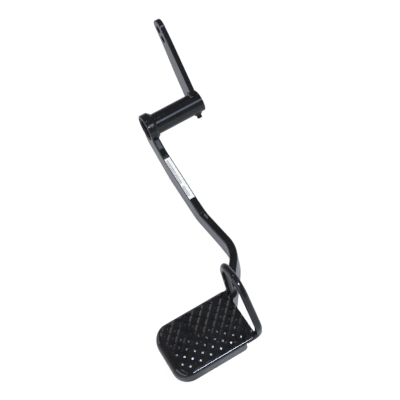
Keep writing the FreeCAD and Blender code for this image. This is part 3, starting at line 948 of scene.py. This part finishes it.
@dataclass
class TreadPlate:
    """Pressed plate with its diamonds, the toe guard and the welds between them and the arm.

    Flat and shoulder are shares of a diamond's half width, and the shoulder's rise is a share of its height.
    Run-out and sheared say how steeply the diamonds end at a border.
    """

    step_x: float = 10.8 * MM
    step_y: float = 10.2 * MM
    height: float = 1.1 * MM
    flat: float = 0.22
    shoulder: float = 0.62
    shoulder_rise: float = 0.68
    foot: float = 0.35 * MM
    origin: Triple = (227.8 * MM, -82.9 * MM, 0.0)
    rows: int = 12
    roll: float = 7.0 * MM
    bend: float = 1.9 * MM
    corner: float = 9.0 * MM
    corner_cuts: int = 9
    run_out: float = 32.0
    sheared: float = 88.0
    inboard_gap: float = 0.1 * MM
    cut_distance: float = 1e-7
    merge_distance: float = 0.002 * MM
    sharp_angle: float = 40.0

    def press(self, nodes: Nodes, paint: bpy.types.Material) -> bpy.types.Object:
        """Lays the diamonds over the plain plate.

        Args:
            nodes: the frame's nodes.
            paint: what covers the plate.

        Returns:
            The pressed plate, which stands for its node.
        """
        low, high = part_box("tread_plate")
        top = high[2] - self.height
        border_low = (low[0] + self.bend, low[1] + self.roll, top)
        border_high = (high[0] - self.bend, high[1] - self.inboard_gap, top)
        diamonds = self.lay_diamonds(border_low, border_high, paint)
        mesh = self.cut_blank(nodes["tread_plate"], top)
        shell = bmesh.new()
        shell.from_mesh(diamonds)
        for place, normal in self.cuts(border_low, border_high):
            self.cut(shell, place, normal)
        shell.from_mesh(mesh)
        shell.to_mesh(mesh)
        shell.free()
        bpy.data.meshes.remove(diamonds)
        mesh.materials.append(paint)
        piece = bpy.data.objects.new("pressed_tread_plate", mesh)
        bpy.context.scene.collection.objects.link(piece)
        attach(piece, ROOT)
        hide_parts("tread_plate")
        LOG.info("tread plate pressed: %d faces", len(mesh.polygons))
        return piece

    def lay_diamonds(self, low: Triple, high: Triple, paint: bpy.types.Material) -> bpy.types.Mesh:
        """Runs the tree over the tread.

        Args:
            low: the tread's lowest corner.
            high: its highest corner.
            paint: what covers the diamonds.

        Returns:
            The untrimmed diamonds as a plain mesh.
        """
        holder = bpy.data.objects.new("diamonds", bpy.data.meshes.new("diamonds"))
        bpy.context.scene.collection.objects.link(holder)
        values = {"Step X": self.step_x, "Step Y": self.step_y, "Height": self.height, "Flat": self.flat,
                  "Shoulder": self.shoulder, "Shoulder Rise": self.shoulder_rise, "Foot": self.foot,
                  "Origin": (self.origin[0], self.origin[1], low[2]), "Rows": self.rows, "Low": low,
                  "High": high, "Paint": paint}
        made = DiamondTree().run(holder, values, "diamonds_laid")
        mesh = made.data
        bpy.data.objects.remove(made)
        return mesh

    def cuts(self, low: Triple, high: Triple) -> list[tuple[Vector, Vector]]:
        """Plans the cuts round the tread's border.

        Args:
            low: the tread's lowest corner.
            high: its highest corner.

        Returns:
            A place and an outward normal for each cut.
        """
        ways = [(0.0, high, self.run_out), (180.0, low, self.run_out), (-90.0, low, self.run_out),
                (90.0, high, self.sheared)]
        sides = [(Vector(place), angle, steep) for angle, place, steep in ways]
        for centre_x, first in ((high[0] - self.corner, -90.0), (low[0] + self.corner, -180.0)):
            centre = Vector((centre_x, low[1] + self.corner, low[2]))
            for step in range(1, self.corner_cuts):
                angle = first + 90.0 * step / self.corner_cuts
                turned = Matrix.Rotation(math.radians(angle), 3, "Z") @ Vector((self.corner, 0, 0))
                sides.append((centre + turned, angle, self.run_out))
        planes = []
        for place, angle, steep in sides:
            turn, lean = math.radians(angle), math.radians(steep)
            out = math.sin(lean)
            normal = Vector((math.cos(turn) * out, math.sin(turn) * out, math.cos(lean)))
            planes.append((place, normal))
        return planes

    def cut(self, shell: bmesh.types.BMesh, place: Vector, normal: Vector) -> None:
        """Cuts the diamonds along a plane, drops what lies outside it and closes what was opened.

        Args:
            shell: the diamonds.
            place: a point on the plane.
            normal: the plane's outward normal.
        """
        geometry = shell.verts[:] + shell.edges[:] + shell.faces[:]
        bmesh.ops.bisect_plane(shell, geom=geometry, dist=self.cut_distance, plane_co=place,
                               plane_no=normal, clear_outer=True)
        opened = [edge for edge in shell.edges if edge.is_boundary]
        bmesh.ops.holes_fill(shell, edges=opened, sides=0)

    def cut_blank(self, source: bpy.types.Object, top: float) -> bpy.types.Mesh:
        """Copies the plate's mesh with its top made plain.

        Args:
            source: the frame's plate.
            top: height of the plain top.

        Returns:
            The blank that the diamonds stand on.
        """
        mesh = source.data.copy()
        shell = bmesh.new()
        shell.from_mesh(mesh)
        for vertex in shell.verts:
            vertex.co.z = min(vertex.co.z, top)
        bmesh.ops.remove_doubles(shell, verts=shell.verts, dist=self.merge_distance)
        bmesh.ops.dissolve_degenerate(shell, edges=shell.edges, dist=self.merge_distance / 2)
        shell.to_mesh(mesh)
        shell.free()
        mesh.shade_smooth()
        mesh.set_sharp_from_angle(angle=math.radians(self.sharp_angle))
        mesh.materials.clear()
        return mesh

    def dress(self, nodes: Nodes, paint: bpy.types.Material) -> None:
        """Gives the guard and the welds under the plate their paint.

        Args:
            nodes: the frame's nodes.
            paint: what covers them.
        """
        dress(nodes, ("toe_guard", "guard_rear_weld", "guard_front_weld"), paint)
        dress(nodes, ("plate_weld_outboard", "plate_weld_inboard"), paint)
        LOG.info("toe guard dressed")


@dataclass(frozen=True)
class SoftBox:
    """One soft lamp: where it hangs, what it faces, its size and its strength."""

    name: str
    place: Triple
    faces: Triple
    width: float
    height: float
    radiance: float
    colour: Triple = (1.0, 1.0, 1.0)

    def hang(self) -> bpy.types.Object:
        """Makes the lamp.

        Returns:
            The lamp's object.
        """
        lamp = bpy.data.lights.new(self.name, "AREA")
        lamp.shape = "RECTANGLE"
        lamp.size = self.width
        lamp.size_y = self.height
        lamp.energy = self.radiance * math.pi * self.width * self.height
        lamp.color = self.colour
        made = bpy.data.objects.new(self.name, lamp)
        aim = (Vector(self.faces) - Vector(self.place)).to_track_quat("-Z", "Y")
        made.matrix_world = Matrix.Translation(self.place) @ aim.to_matrix().to_4x4()
        made.visible_camera = False
        bpy.context.scene.collection.objects.link(made)
        return made


@dataclass
class Studio:
    """Plain pale floor, white surroundings and soft lamps."""

    floor_z: float = 0.0
    floor_half: float = 6.0
    floor_colour: Triple = (0.72, 0.73, 0.75)
    camera_colour: Triple = (0.16, 0.16, 0.16)
    camera_glow: float = 0.9
    mirror_colour: Triple = (0.5, 0.5, 0.52)
    mirror_glow: float = 0.05
    ambient: Triple = (0.62, 0.62, 0.62)
    wall_level: float = 0.22
    ceiling_level: float = 0.1
    wall_top: float = 0.6
    lamps: tuple[SoftBox, ...] = ()

    def build(self) -> None:
        """Builds the floor, the world and the lamps."""
        self.lay_floor()
        self.fill_world()
        for lamp in self.lamps:
            lamp.hang()
        LOG.info("studio built with %d lamps", len(self.lamps))

    def lay_floor(self) -> None:
        """Lays the floor under the pedal and marks it as stage."""
        half = self.floor_half
        mesh = bpy.data.meshes.new("floor")
        corners = [(x * half, y * half, self.floor_z) for x, y in ((-1, -1), (1, -1), (1, 1), (-1, 1))]
        mesh.from_pydata(corners, [], [(0, 1, 2, 3)])
        floor = bpy.data.objects.new("floor", mesh)
        bpy.context.scene.collection.objects.link(floor)
        mesh.materials.append(self.floor_material())
        floor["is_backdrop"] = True

    def floor_material(self) -> bpy.types.Material:
        """Makes the pale floor, white to the camera, that still takes the shadow.

        Returns:
            The floor's material.
        """
        material = bpy.data.materials.new("pale_floor")
        material.use_nodes = True
        material.node_tree.nodes.clear()
        graph = Graph(material.node_tree)
        rays = graph.node("ShaderNodeLightPath").outputs
        mirrored = graph.math("MAXIMUM", rays["Is Glossy Ray"], rays["Is Transmission Ray"])
        shine = graph.node("ShaderNodeMixShader", mirrored,
                           self.matt_and_glow(graph, self.floor_colour, 0.0),
                           self.matt_and_glow(graph, self.mirror_colour, self.mirror_glow))
        pick = graph.node("ShaderNodeMixShader", rays["Is Camera Ray"], shine.outputs[0],
                          self.matt_and_glow(graph, self.camera_colour, self.camera_glow))
        graph.node("ShaderNodeOutputMaterial", pick.outputs[0])
        return material

    def matt_and_glow(self, graph: Graph, colour: Triple, glow: float) -> object:
        """Adds a matt surface with a white glow over it.

        Args:
            graph: the floor's graph.
            colour: the matt surface's colour.
            glow: the glow's strength.

        Returns:
            The shader's socket.
        """
        matt = graph.supply(graph.node("ShaderNodeBsdfDiffuse"), {"Color": opaque(colour)})
        light = graph.supply(graph.node("ShaderNodeEmission"), {"Strength": glow})
        return graph.node("ShaderNodeAddShader", matt.outputs[0], light.outputs[0]).outputs[0]

    def fill_world(self) -> None:
        """Fills the surroundings: white to the camera, with a dim ceiling and paler walls in mirror rays."""
        world = bpy.data.worlds.new("studio_world")
        bpy.context.scene.world = world
        world.use_nodes = True
        world.node_tree.nodes.clear()
        graph = Graph(world.node_tree)
        rays = graph.node("ShaderNodeLightPath").outputs
        glossy = rays["Is Glossy Ray"]
        where = graph.node("ShaderNodeTexCoord").outputs["Generated"]
        up = graph.node("ShaderNodeSeparateXYZ", where).outputs[2]
        walls = graph.ramp(up, 0.0, self.wall_top, self.wall_level, self.ceiling_level)
        level = graph.math("ADD", graph.math("MULTIPLY", glossy, walls), graph.math("SUBTRACT", 1.0, glossy))
        dim = graph.supply(graph.node("ShaderNodeBackground"),
                           {"Color": graph.mix(glossy, opaque(self.ambient), WHITE), "Strength": level})
        white = graph.supply(graph.node("ShaderNodeBackground"), {"Color": WHITE, "Strength": 1.0})
        pick = graph.node("ShaderNodeMixShader", rays["Is Camera Ray"], dim.outputs[0], white.outputs[0])
        graph.node("ShaderNodeOutputWorld", pick.outputs[0])


@dataclass(frozen=True)
class Viewpoint:
    """Camera at the photograph's viewing angle."""

    place: Triple = (0.59582, -0.1823, 0.68294)
    right: Triple = (0.48555, 0.86092, -0.15329)
    up: Triple = (-0.66265, 0.47665, 0.57803)
    ahead: Triple = (-0.57049, 0.179, -0.80156)
    focal_px: float = 901.94
    frame_px: float = 400.0
    sensor_mm: float = 36.0
    nearest: float = 0.01
    furthest: float = 50.0

    def build(self) -> bpy.types.Object:
        """Makes the scene's camera.

        Returns:
            The camera's object.
        """
        camera = bpy.data.cameras.new("photo_camera")
        camera.sensor_width = self.sensor_mm
        camera.lens = self.focal_px * self.sensor_mm / self.frame_px
        camera.clip_start = self.nearest
        camera.clip_end = self.furthest
        made = bpy.data.objects.new("photo_camera", camera)
        turn = Matrix((Vector(self.right), Vector(self.up), -Vector(self.ahead))).transposed()
        made.matrix_world = Matrix.Translation(self.place) @ turn.to_4x4()
        bpy.context.scene.collection.objects.link(made)
        bpy.context.scene.camera = made
        return made


def clear_start() -> None:
    """Empties the start-up scene."""
    for item in list(bpy.data.objects):
        bpy.data.objects.remove(item)


def box_lists() -> list[list[float]]:
    """Returns the whole object's box as two lists."""
    return [list(corner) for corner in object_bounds()]


SKY = (0.80, 0.90, 1.0)
BLUE_SKY = (0.64, 0.76, 1.0)
SPARK = (0.72, 0.82, 1.0)
STUDIO_LAMPS = (
    SoftBox("key_window", (0.35, -1.6, 0.75), (0.1, -0.05, 0.0), 1.8, 0.8, 1.6),
    SoftBox("tube_band", (0.54, 0.20, 0.75), (0.0, 0.0, 0.0), 0.18, 0.28, 3.0, BLUE_SKY),
    SoftBox("edge_spark", (0.61, 0.0, 0.70), (0.22, -0.09, -0.02), 0.16, 0.13, 60.0, SPARK),
    SoftBox("tread_spark", (-0.103, -0.004, 0.686), (0.24, -0.09, -0.02), 0.15, 0.034, 26.0, SPARK),
    SoftBox("tread_panel", (0.25, 0.76, 0.82), (0.2, -0.09, -0.02), 0.2, 0.24, 1.2),
    SoftBox("side_panel", (-0.9, -1.2, 0.3), (0.2, -0.1, 0.0), 0.8, 0.5, 1.3, SKY),
)


def main() -> None:
    """Builds the pedal's looks, the studio and the camera."""
    logging.basicConfig(level=logging.INFO, format="%(message)s")
    bpy.context.scene.view_settings.view_transform = "Standard"
    cad_box = box_lists()
    nodes = frame["nodes"]
    paint = GlossPaint(name="gloss_black_paint").build()
    housing = PivotHousing()
    lever = BrakeLever()
    peg = SpringPeg()
    housing.dress(nodes, paint)
    lever.dress(nodes, paint)
    peg.dress(nodes, paint)
    PedalArm().dress(nodes)
    plate = TreadPlate()
    plate.dress(nodes, paint)
    plate.press(nodes, GlossPaint(name="tread_paint", coat_roughness=0.04).build())
    ripples = RippleTree()
    for run in housing.weld_runs() + lever.weld_runs() + peg.weld_runs():
        piece = ripples.lay(run, paint)
        LOG.info("%s: %d faces", piece.name, len(piece.data.polygons))
    lowest = cad_box[0][2]
    Studio(floor_z=lowest, lamps=STUDIO_LAMPS).build()
    Viewpoint().build()


clear_start()
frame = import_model()

if __name__ == "__main__":
    main()
